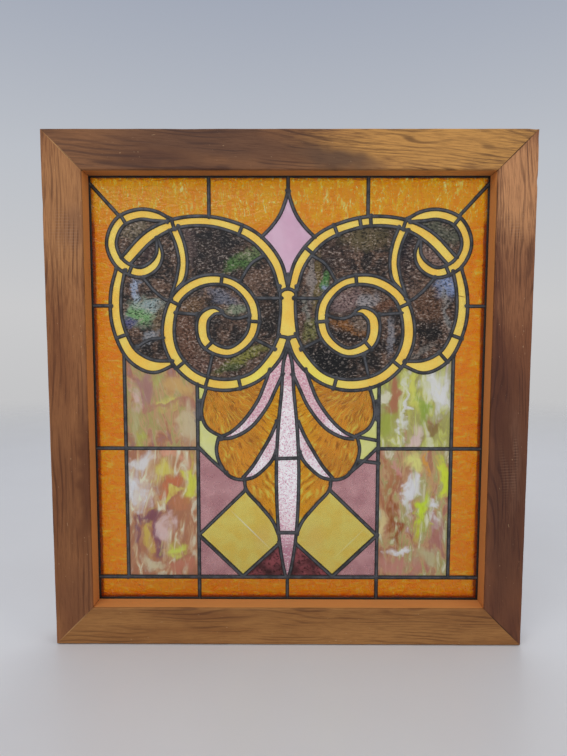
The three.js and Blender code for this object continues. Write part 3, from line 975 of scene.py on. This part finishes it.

# %% [markdown]
# ## The amber border
# The border is cathedral glass, one colour right through, rolled with a faint ripple. The
# ripple runs up and down over the top and across at the sides, and at the top small pale
# dashes are painted highlights of the ripple. A darker margin along the wood is painted
# shadow of the wooden reveal.

# %% Amber border
amber = glass("amber_glass", 0.86, 0.3)
where = amber.lay()
up = amber.part(where, "Z")
out = amber.math("ABSOLUTE", amber.part(where, "X"))
top = amber.step(up, 545, 556)
wave = amber.noise(amber.lay((0.4, 1, 1.0)), 6, 2, 0.5, 1.2)
band = amber.noise(amber.lay((1.0, 1, 0.3)), 7, 2, 0.5, 1.0)
dash = amber.noise(amber.lay((1.0, 1, 0.45)), 4.2, 1, 0.5, 1.5)
sides = amber.blend(amber.step(wave, 0.40, 0.62), tint(194, 106, 8), tint(212, 126, 16))
above = amber.blend(amber.step(band, 0.40, 0.62), tint(202, 118, 6), tint(214, 136, 18))
shade = amber.blend(top, sides, above)
# Small pale dashes, mostly at the top, are painted highlights of the ripple.
dash_highlights = amber.step(dash, 0.60, 0.66) * (0.15 + 0.75 * top)
shade = amber.blend(dash_highlights, shade, tint(246, 204, 120))
crests = amber.step(wave, 0.63, 0.70) * (0.6 - 0.6 * top)
shade = amber.blend(crests, shade, tint(240, 176, 76))
# A darker margin along the wood at the sides and the sill is painted shadow of the reveal, faint at
# the top.
ragged = 3.5 * band
margin = amber.step(out + ragged, 251.0, 252.4) + amber.step(up - ragged, 53.0, 51.4)
shade = amber.blend(margin * (0.8 - 0.65 * top), shade, tint(120, 48, 14))
amber.feed(Base_Color=shade, Roughness=0.22 + 0.15 * wave)
amber.bump(wave + 0.5 * dash, 1.6, 0.8)

# %% [markdown]
# ## The gold ribbons
# The scrolls are an opaque-looking gold opalescent with a fine granular face. Grains a
# millimetre across are too small to model, so they are colour and relief from one noise.
# Such glass holds light and looks brighter than the room behind it. A pane that only lets
# light through can't, so it also gives off a very little light of its own colour.

# %% Gold ribbons
gold = glass("gold_glass", 0.55, 0.5)
where = gold.lay()
grain = gold.noise(where, 1.3, 3, 0.65)
cloud = gold.noise(where, 30, 2)
shade = gold.blend(gold.step(cloud, 0.35, 0.65), tint(248, 162, 76), tint(252, 172, 90))
low = gold.patch(where, (0, 350), (95, 34))
shade = gold.blend(low * 0.6, shade, tint(250, 188, 90))
shade = gold.blend(gold.step(grain, 0.52, 0.72) * 0.4, shade, tint(212, 132, 58))
shade = gold.blend(gold.step(grain, 0.42, 0.3) * 0.3, shade, tint(252, 198, 120))
# An old hairline crack across the ribbon of the right wing.
crack = gold.patch(where, (222, 456.5), (9, 0.7), -0.2)
shade = gold.blend(crack, shade, tint(96, 66, 26))
gold.feed(Base_Color=shade, Roughness=0.4 + 0.2 * grain, Emission_Color=shade)
gold.fix(Emission_Strength=0.07)
gold.bump(grain, 0.7, 0.8)

# %% [markdown]
# ## The dark ground
# Behind the scrolls is a streaky glass, brown and black with wisps of white, green and
# blue, whose rough face breaks the light into sparks. The pale glints of those sparks are
# painted highlights. Each pane was cut from another part of the sheet. One noise gives the
# sparks, a slower one the clouds, and the larger wisps are laid where they are seen, their
# rims dragged about so that they look poured.

# %% Dark ground
def dark_ground(name, patches):
    """Black to tan sparks with painted pale glints, and wisps of colour that the sparks break up.
    """
    dark = glass(name, 0.5, 0.3)
    where = dark.lay()
    spark = dark.noise(dark.stir(dark.lay((0.6, 1, 1)), 12, 6), 2.2, 3, 0.65)
    cloud = dark.noise(dark.stir(where, 30, 50), 18, 4, 0.6)
    shade = dark.blend(dark.step(cloud, 0.38, 0.60), paint(36, 28, 26), paint(128, 96, 76))
    poured = dark.stir(dark.stir(where, 26, 24), 7, 12, 3)
    ragged = (cloud - 0.5) * 1.2 + (spark - 0.5) * 0.8 - 0.25
    shade = dark.daub(shade, poured, patches, ragged)
    shade = dark.blend(dark.step(spark, 0.49, 0.40) * 0.88, shade, paint(7, 6, 7))
    # Pale glints on the sparks are painted highlights, more of them in the lighter clouds.
    painted_glint = dark.step(spark, 0.55, 0.64) * (0.35 + 0.45 * dark.step(cloud, 0.40, 0.58))
    shade = dark.blend(painted_glint, shade, paint(226, 208, 194))
    dark.feed(Base_Color=shade, Roughness=0.2 + 0.3 * spark)
    dark.bump(spark, 1.2, 0.9)
    return dark


dark_left = dark_ground("dark_glass_left", [
    ((-198, 543), (22, 14), 0.3, paint(136, 122, 94), 0.8),
    ((-190, 508), (20, 12), 0.6, paint(84, 60, 58), 0.7),
    ((-100, 515), (44, 36), 0.0, paint(22, 20, 24), 0.8),
    ((-132, 520), (12, 24), 0.0, paint(124, 98, 92), 0.7),
    ((-60, 503), (32, 10), 0.55, paint(88, 132, 58), 1.0),
    ((-52, 512), (16, 6), 0.5, paint(132, 146, 96), 0.8),
    ((-197, 462), (6, 22), 0.1, paint(192, 206, 232), 1.0),
    ((-188, 436), (26, 18), 0.35, paint(178, 200, 176), 1.0),
    ((-193, 430), (17, 11), -0.3, paint(122, 186, 96), 0.75),
    ((-178, 446), (12, 8), 0.0, paint(176, 196, 196), 0.9),
    ((-208, 422), (8, 7), 0.0, paint(96, 96, 150), 0.9),
    ((-170, 428), (8, 20), 0.0, paint(134, 108, 74), 0.8),
    ((-182, 402), (18, 4), 0.6, paint(170, 172, 178), 0.9),
    ((-126, 446), (22, 10), 0.4, paint(134, 100, 66), 0.9),
    ((-84, 456), (24, 9), -0.3, paint(132, 134, 150), 0.8),
    ((-68, 438), (16, 10), 0.1, paint(156, 168, 138), 0.9),
    ((-135, 400), (14, 44), 0.1, paint(128, 86, 62), 0.9),
    ((-112, 364), (18, 14), 0.2, paint(134, 96, 80), 0.8),
    ((-62, 372), (40, 8), 0.5, paint(150, 146, 62), 1.0),
    ((-78, 360), (20, 6), 0.2, paint(66, 90, 50), 0.7),
    ((-25, 430), (18, 30), 0.0, paint(34, 28, 24), 0.7),
])
dark_right = dark_ground("dark_glass_right", [
    ((95, 530), (30, 16), 0.0, paint(124, 108, 68), 0.8),
    ((60, 505), (22, 20), 0.0, paint(60, 42, 38), 0.6),
    ((150, 505), (16, 34), 0.0, paint(44, 34, 42), 0.7),
    ((196, 540), (26, 14), -0.6, paint(114, 116, 94), 0.8),
    ((186, 506), (22, 14), -0.6, paint(158, 126, 112), 0.9),
    ((28, 482), (5, 34), 0.0, paint(172, 158, 148), 0.9),
    ((36, 470), (4, 40), -0.1, paint(136, 116, 60), 0.8),
    ((46, 472), (7, 14), -0.4, paint(88, 148, 72), 1.0),
    ((47, 462), (4, 8), 0.0, paint(180, 192, 220), 0.9),
    ((23, 430), (3, 30), 0.0, paint(158, 156, 144), 0.8),
    ((30, 412), (16, 12), 0.5, paint(142, 138, 72), 0.9),
    ((76, 452), (24, 14), 0.3, paint(156, 126, 122), 0.9),
    ((104, 452), (13, 12), 0.0, paint(184, 176, 176), 0.9),
    ((126, 444), (18, 6), 0.1, paint(136, 90, 62), 0.9),
    ((76, 416), (28, 9), -0.4, paint(158, 100, 40), 1.0),
    ((80, 402), (20, 9), -0.1, paint(30, 18, 12), 0.9),
    ((94, 424), (12, 10), 0.0, paint(146, 122, 102), 0.8),
    ((132, 402), (5, 26), 0.0, paint(160, 158, 164), 0.8),
    ((50, 370), (44, 24), -0.3, paint(6, 5, 7), 1.0),
    ((205, 468), (17, 16), 0.0, paint(158, 176, 216), 1.0),
    ((203, 436), (5, 34), 0.25, paint(158, 156, 152), 0.9),
    ((180, 442), (20, 18), 0.0, paint(122, 84, 58), 0.9),
    ((184, 412), (24, 14), -0.3, paint(26, 18, 14), 0.9),
    ((176, 386), (22, 5), 0.6, paint(146, 136, 126), 0.8),
    ((165, 462), (12, 12), 0.0, paint(140, 108, 90), 0.8),
])

# %% [markdown]
# ## The opalescent panels
# The four tall panes are opalescent: white and coloured glasses stirred together while
# they were molten, then rolled, so the colours lie in soft veils that run up and down.
# As in the dark ground, each veil is a soft oval of colour in a place that has been
# stirred, here more slowly and further, with a second, finer stir for the threads.

# %% Opalescent panels
def opal_panel(name, hues, turn, patches):
    """Hues along a drawn-out noise, with patches over it whose rims follow that noise."""
    opal = glass(name, 0.6, 0.32)
    where = opal.lay()
    poured = opal.stir(opal.stir(where, 48, 60), 13, 24, 3)
    drawn = opal.noise(opal.stir(opal.lay((1, 1, 0.3), turn), 26, 26), 11, 4, 0.55, 0.8)
    shade = opal.ramp(drawn, *zip((0.34, 0.43, 0.50, 0.57, 0.66), hues))
    shade = opal.daub(shade, poured, patches, (drawn - 0.5) * 2.4)
    thread = opal.noise(opal.stir(opal.lay((1, 1, 0.2), turn), 20, 22), 4, 3, 0.6, 0.5)
    shade = opal.blend(opal.step(thread, 0.55, 0.70) * 0.2, shade, tint(216, 206, 186))
    shade = opal.blend(opal.step(thread, 0.45, 0.32) * 0.2, shade, tint(122, 88, 66))
    opal.feed(Base_Color=shade, Roughness=0.26 + 0.15 * drawn)
    opal.bump(drawn, 0.8, 0.3)
    return opal


MAUVE, BROWN, TAN = tint(142, 102, 98), tint(152, 106, 80), tint(170, 138, 104)
OLIVE, LIME, CREAM = tint(146, 142, 88), tint(164, 166, 84), tint(200, 188, 166)
opal_left_upper = opal_panel("opal_left_upper", (MAUVE, BROWN, TAN, OLIVE, TAN), 0.15, [
    ((-187, 336), (15, 34), 0.0, tint(146, 112, 106), 0.9),
    ((-204, 318), (9, 20), 0.2, tint(184, 162, 158), 0.9),
    ((-167, 350), (9, 22), 0.0, tint(156, 154, 90), 0.9),
    ((-162, 312), (11, 12), 0.0, tint(180, 174, 96), 0.9),
    ((-144, 336), (20, 20), 0.0, tint(178, 150, 96), 0.8),
    ((-160, 310), (50, 6), 0.05, tint(152, 104, 92), 0.8),
    ((-206, 290), (12, 22), 0.0, tint(160, 156, 112), 0.9),
    ((-200, 268), (10, 12), 0.0, tint(156, 156, 76), 0.9),
    ((-184, 286), (5, 30), 0.15, tint(160, 122, 102), 0.8),
    ((-138, 286), (17, 26), 0.0, tint(176, 164, 132), 0.9),
    ((-127, 286), (5, 22), 0.0, tint(130, 112, 112), 0.8),
])
opal_left_lower = opal_panel("opal_left_lower", (MAUVE, BROWN, BROWN, TAN, CREAM), -0.1, [
    ((-204, 208), (22, 34), 0.0, tint(228, 224, 216), 1.0),
    ((-196, 242), (14, 14), 0.0, tint(206, 200, 188), 0.9),
    ((-168, 222), (22, 20), 0.0, tint(196, 188, 90), 0.7),
    ((-156, 244), (26, 9), -0.1, tint(190, 142, 118), 0.9),
    ((-160, 204), (34, 8), 0.55, tint(170, 104, 72), 1.0),
    ((-160, 192), (36, 5), 0.45, tint(196, 186, 84), 0.7),
    ((-130, 214), (11, 38), 0.0, tint(184, 204, 70), 0.85),
    ((-140, 178), (18, 20), 0.4, tint(164, 110, 78), 0.9),
    ((-188, 162), (26, 16), 0.0, tint(112, 70, 84), 0.9),
    ((-170, 138), (7, 32), 0.1, tint(118, 78, 92), 0.9),
    ((-206, 132), (6, 28), 0.1, tint(116, 78, 88), 0.8),
    ((-186, 134), (8, 24), 0.0, tint(176, 156, 78), 0.9),
    ((-160, 144), (12, 18), 0.0, tint(196, 170, 166), 0.8),
    ((-146, 122), (20, 13), 0.0, tint(178, 196, 84), 0.85),
    ((-146, 96), (28, 12), 0.1, tint(168, 112, 90), 0.9),
    ((-186, 96), (18, 13), 0.0, tint(180, 172, 142), 0.9),
])
opal_right_upper = opal_panel("opal_right_upper", (BROWN, OLIVE, OLIVE, LIME, CREAM), 0.0, [
    ((139, 326), (9, 40), 0.0, tint(152, 104, 78), 1.0),
    ((124, 328), (5, 18), 0.0, tint(196, 186, 168), 0.9),
    ((130, 282), (16, 24), 0.0, tint(142, 150, 66), 0.9),
    ((164, 332), (9, 36), 0.0, tint(184, 184, 92), 0.9),
    ((170, 308), (8, 30), 0.0, tint(128, 148, 62), 0.9),
    ((152, 312), (3.5, 54), -0.08, tint(226, 212, 186), 1.0),
    ((196, 332), (18, 34), 0.0, tint(206, 204, 188), 1.0),
    ((192, 282), (22, 12), 0.4, tint(122, 96, 62), 0.8),
    ((164, 274), (9, 22), -0.3, tint(192, 170, 164), 0.9),
])
opal_right_lower = opal_panel("opal_right_lower", (MAUVE, BROWN, TAN, OLIVE, CREAM), 0.05, [
    ((134, 206), (9, 56), 0.0, tint(152, 98, 68), 0.8),
    ((140, 238), (5, 24), 0.0, tint(180, 130, 128), 0.8),
    ((144, 152), (8, 34), 0.1, tint(134, 78, 44), 1.0),
    ((126, 156), (8, 24), 0.0, tint(220, 176, 128), 0.9),
    ((160, 188), (9, 44), 0.0, tint(202, 192, 198), 1.0),
    ((166, 236), (15, 22), 0.0, tint(206, 192, 116), 0.9),
    ((184, 236), (3, 24), 0.0, tint(194, 142, 60), 0.8),
    ((181, 168), (10, 44), 0.05, tint(172, 204, 52), 1.0),
    ((206, 216), (9, 30), 0.0, tint(180, 208, 60), 1.0),
    ((196, 184), (16, 8), 0.2, tint(232, 226, 228), 1.0),
    ((195, 158), (4.5, 24), 0.0, tint(216, 208, 208), 0.9),
    ((204, 140), (14, 36), 0.0, tint(152, 104, 96), 0.9),
    ((151, 116), (22, 9), 0.0, tint(234, 224, 226), 1.0),
    ((144, 94), (40, 12), -0.1, tint(168, 120, 108), 0.9),
    ((190, 104), (20, 12), -0.2, tint(164, 158, 122), 0.9),
])

# %% [markdown]
# ## The fan of petals
# The petals are rippled amber, whose lines fan out from the stalk, and the fronds and the
# stalk are a pale pink glass hammered into little dimples. The petals mirror each other,
# so their ripple is worked out once, from the angle about a hub at the outer top of the
# upper petal, with the distance to the axis in the place of X. The dimples of the pink
# glass gather light, so it has a faint light of its own, as the gold has.

# %% Rippled petals
rippled = glass("ripple_glass", 0.82, 0.25)
HUB_OUT, HUB_UP = 110, 352
where = rippled.stir(rippled.lay(), 16, 12)
aside = HUB_OUT - rippled.math("ABSOLUTE", rippled.part(where, "X"))
down = HUB_UP - rippled.part(where, "Z")
angle = rippled.math("ARCTAN2", down, aside)
distance = rippled.math("SQRT", aside * aside + down * down)
fan = rippled.add("ShaderNodeCombineXYZ", {}, {"X": angle * 80, "Z": distance * 0.16})
ripple = rippled.noise(fan, 2.6, 2, 0.5, 0.5)
cloud = rippled.noise(rippled.lay(), 24, 2)
shade = rippled.blend(rippled.step(cloud, 0.35, 0.65), tint(168, 112, 40), tint(184, 124, 42))
shade = rippled.blend(rippled.step(aside, 60, 92) * 0.7, shade, tint(210, 136, 30))
shade = rippled.blend(rippled.step(ripple, 0.55, 0.68) * 0.8, shade, tint(236, 178, 76))
shade = rippled.blend(rippled.step(ripple, 0.45, 0.33) * 0.7, shade, tint(120, 70, 18))
rippled.feed(Base_Color=shade, Roughness=0.2 + 0.15 * ripple)
rippled.bump(ripple, 1.8, 0.8)

# %% Hammered fronds and stalk
hammered = glass("hammered_glass", 0.8, 0.3)
where = hammered.lay()
dimple = hammered.noise(where, 2.2, 2, 0.6)
rosy, white = tint(172, 142, 146), tint(246, 236, 244)
shade = hammered.daub(rosy, where, [
    ((0, 225), (30, 110), 0.0, white, 1.0),
    ((0, 300), (20, 60), 0.0, tint(234, 216, 226), 0.8),
    ((40, 232), (24, 30), 0.0, tint(240, 220, 222), 0.9),
    ((-40, 232), (24, 30), 0.0, tint(234, 210, 216), 0.9),
    ((64, 284), (26, 20), 0.0, tint(230, 210, 214), 0.8),
    ((-64, 284), (26, 20), 0.0, tint(220, 196, 202), 0.6),
    ((0, 104), (26, 36), 0.0, tint(134, 98, 106), 0.95),
    ((0, 366), (10, 30), 0.0, tint(170, 140, 144), 0.8),
])
shade = hammered.blend(
    hammered.step(dimple, 0.49, 0.40) * 0.85, shade, tint(150, 100, 120)
)
# The palest dimples are painted glints; the glow takes this same colour, so they glow too.
shade = hammered.blend(hammered.step(dimple, 0.54, 0.62) * 0.7, shade, tint(255, 250, 253))
hammered.feed(Base_Color=shade, Roughness=0.22 + 0.2 * dimple, Emission_Color=shade)
hammered.fix(Emission_Strength=0.12)
hammered.bump(dimple, 1.3, 0.9)

# %% [markdown]
# ## The plain quarries
# The rest are smooth or lightly seeded sheets of one colour: the pink diamond, straw
# corners, mauve and wine below the fan, and the two clear yellow kites, each with a pale
# hairline scratch from edge to edge. Four share one recipe: a colour in two depths, with
# a relief of its own size. The kites are smooth, with a few seeds and a slow wave.

# %% Plain glasses
def plain_glass(name, clear, rough, pale, deep, size, depth, grain):
    """A sheet of one colour in two depths, with a relief of about size millimetres.

    depth is the depth of the relief, and grain is how much it deepens the colour.
    """
    sheet = glass(name, clear, rough)
    where = sheet.lay()
    relief = sheet.noise(where, size, 3, 0.55)
    cloud = sheet.noise(where, 26, 2)
    shade = sheet.blend(sheet.step(cloud, 0.35, 0.65), pale, deep)
    shade = sheet.blend(sheet.step(relief, 0.48, 0.66) * grain, shade, deep)
    sheet.feed(Base_Color=shade, Roughness=rough + 0.1 * relief)
    sheet.bump(relief, depth, 0.8)
    return sheet


PLAIN = {
    "pink": (0.6, 0.2, tint(190, 162, 176), tint(184, 152, 168), 40, 0.2, 0.1),
    "straw": (0.8, 0.25, tint(222, 206, 136), tint(208, 190, 112), 3, 0.5, 0.3),
    "mauve": (0.8, 0.22, tint(170, 130, 130), tint(154, 112, 114), 12, 0.5, 0.3),
    "wine": (0.8, 0.25, tint(132, 70, 74), tint(46, 16, 20), 3.2, 1.2, 0.95),
}
plain = {name: plain_glass(name + "_glass", *recipe) for name, recipe in PLAIN.items()}

# %% Clear kites
clear = glass("clear_glass", 0.94, 0.08)
where = clear.lay()
seed = clear.step(clear.noise(where, 2.2, 2, 0.5), 0.70, 0.74)
wave = clear.noise(where, 16, 2)
shade = clear.blend(clear.step(wave, 0.35, 0.65), tint(200, 174, 88), tint(192, 164, 74))
shade = clear.daub(shade, where, [
    ((-50, 144), (44, 0.9), -0.785, tint(244, 226, 170), 1.0),
    ((84, 128), (34, 0.7), 0.785, tint(232, 214, 140), 0.8),
    # These two faint orange patches are painted light from something behind the panel, seen through
    # the kites.
    ((34, 132), (20, 30), 0.0, tint(214, 164, 92), 0.35),
    ((-34, 132), (16, 24), 0.0, tint(210, 158, 92), 0.3),
])
shade = clear.blend(seed * 0.5, shade, tint(236, 216, 150))
clear.feed(Base_Color=shade, Roughness=0.06 + 0.2 * seed)
clear.bump(wave + 0.2 * seed, 0.5, 0.6)

# %% Glaze the panel
GLASSES = [
    (amber, ("left_border", "right_border")),
    (gold, ("ribbon", "upright")),
    (dark_left, ("left_ground",)),
    (dark_right, ("right_ground",)),
    (opal_left_upper, ("left_opal_upper",)),
    (opal_left_lower, ("left_opal_lower",)),
    (opal_right_upper, ("right_opal_upper",)),
    (opal_right_lower, ("right_opal_lower",)),
    (rippled, ("petal",)),
    (hammered, ("frond", "stalk")),
    (plain["pink"], ("diamond",)),
    (plain["straw"], ("straw",)),
    (plain["mauve"], ("mauve",)),
    (plain["wine"], ("wine_triangle",)),
    (clear, ("clear_kite",)),
]
glazed = 0
for sheet, words in GLASSES:
    for name, node in nodes.items():
        if any(word in name for word in words):
            node.data.materials.clear()
            node.data.materials.append(sheet.material)
            glazed += 1
print("panes glazed:", glazed)

# %% [markdown]
# ## The room
# Glass needs something pale behind it, or it looks black. The room is a pale floor that
# fades into an even, slightly graded sky, so the light behind the panel is the same from
# every side. The floor is a disc of rings, because a round edge can fade evenly. A soft
# lamp above and in front models the wood, a weaker one at the right opens its shadows, and
# one behind lights the back.

# %% Floor
bpy.context.scene.view_settings.view_transform = "Standard"

SPOKES = 64
FLOOR_LEVEL = -0.0012
radii = np.r_[0.02, np.linspace(0.2, 4.0, 20)][:, None]
spin = np.linspace(0, 2 * np.pi, SPOKES, endpoint=False)
level = np.full((len(radii), SPOKES), FLOOR_LEVEL)
disc = np.stack([radii * np.cos(spin), radii * np.sin(spin), level], axis=-1).reshape(-1, 3)
index = np.arange(len(disc)).reshape(len(radii), SPOKES)
beside = np.roll(index, -1, axis=1)
quads = np.stack([index[:-1], index[1:], beside[1:], beside[:-1]], axis=-1).reshape(-1, 4)
floor_mesh = bpy.data.meshes.new("floor")
floor_mesh.from_pydata(disc.tolist(), [], quads.tolist() + [index[0].tolist()])
floor = bpy.data.objects.new("floor", floor_mesh)
bpy.context.scene.collection.objects.link(floor)
print("floor quads:", len(quads))

# %% Finish of the floor
FADE_START, FADE_END = 1100, 3200
laminate = Finish("floor_laminate")
where = laminate.lay()
away = laminate.add("ShaderNodeVectorMath", {"operation": "LENGTH"}, {0: where}, "Value")
smear = laminate.noise(where, 180, 3)
laminate.feed(Base_Color=laminate.blend(smear, paint(226, 224, 223), paint(232, 231, 230)))
laminate.fix(Roughness=0.35)
nothing = laminate.add("ShaderNodeBsdfTransparent", {}, {})
fade = laminate.step(away, FADE_START, FADE_END)
solid = Wire(laminate, laminate.shader.outputs[0])
faded = laminate.add("ShaderNodeMixShader", {}, {0: fade, 1: solid, 2: nothing})
laminate.tree.links.new(faded.socket, laminate.tree.nodes["Material Output"].inputs["Surface"])
floor_mesh.materials.append(laminate.material)
print("the floor fades between", FADE_START, "and", FADE_END, "millimetres from the window")

# %% Sky
world = bpy.data.worlds.new("room")
bpy.context.scene.world = world
world.use_nodes = True
sky = Tree(world.node_tree)
direction = sky.add("ShaderNodeTexCoord", {}, {}, "Generated")
height = sky.add("ShaderNodeSeparateXYZ", {}, {0: direction}, "Z")
colour = sky.ramp(
    height * 0.5 + 0.5,
    (0.0, paint(204, 203, 203)), (0.42, paint(194, 194, 195)), (0.52, paint(202, 202, 203)),
    (0.64, paint(188, 192, 199)), (0.76, paint(160, 167, 182)), (1.0, paint(190, 192, 198)),
)
background = world.node_tree.nodes["Background"]
world.node_tree.links.new(colour.socket, background.inputs["Color"])
print("nodes of the sky:", len(world.node_tree.nodes))

# %% Lamps
def lamp(name, place, aim, size, watts):
    """A square soft lamp at place, turned to face aim.

    Neither the camera nor what shows through the glass sees it.
    """
    data = bpy.data.lights.new(name, "AREA")
    data.size = size
    data.energy = watts
    thing = bpy.data.objects.new(name, data)
    thing.location = place
    way = np.array(aim, float) - np.array(place, float)
    flat = math.hypot(way[0], way[1])
    thing.rotation_euler = (math.atan2(flat, -way[2]), 0, math.atan2(way[0], -way[1]) + math.pi)
    thing.visible_camera = False
    thing.visible_transmission = False
    bpy.context.scene.collection.objects.link(thing)
    print(name, "watts:", watts)


lamp("front_lamp", (-0.7, -1.5, 1.9), (0, 0, 0.3), 1.4, 17)
lamp("side_lamp", (1.6, -0.9, 1.2), (0, 0, 0.3), 1.2, 5)
lamp("back_lamp", (0.3, 1.6, 1.8), (0, 0, 0.2), 1.4, 8)
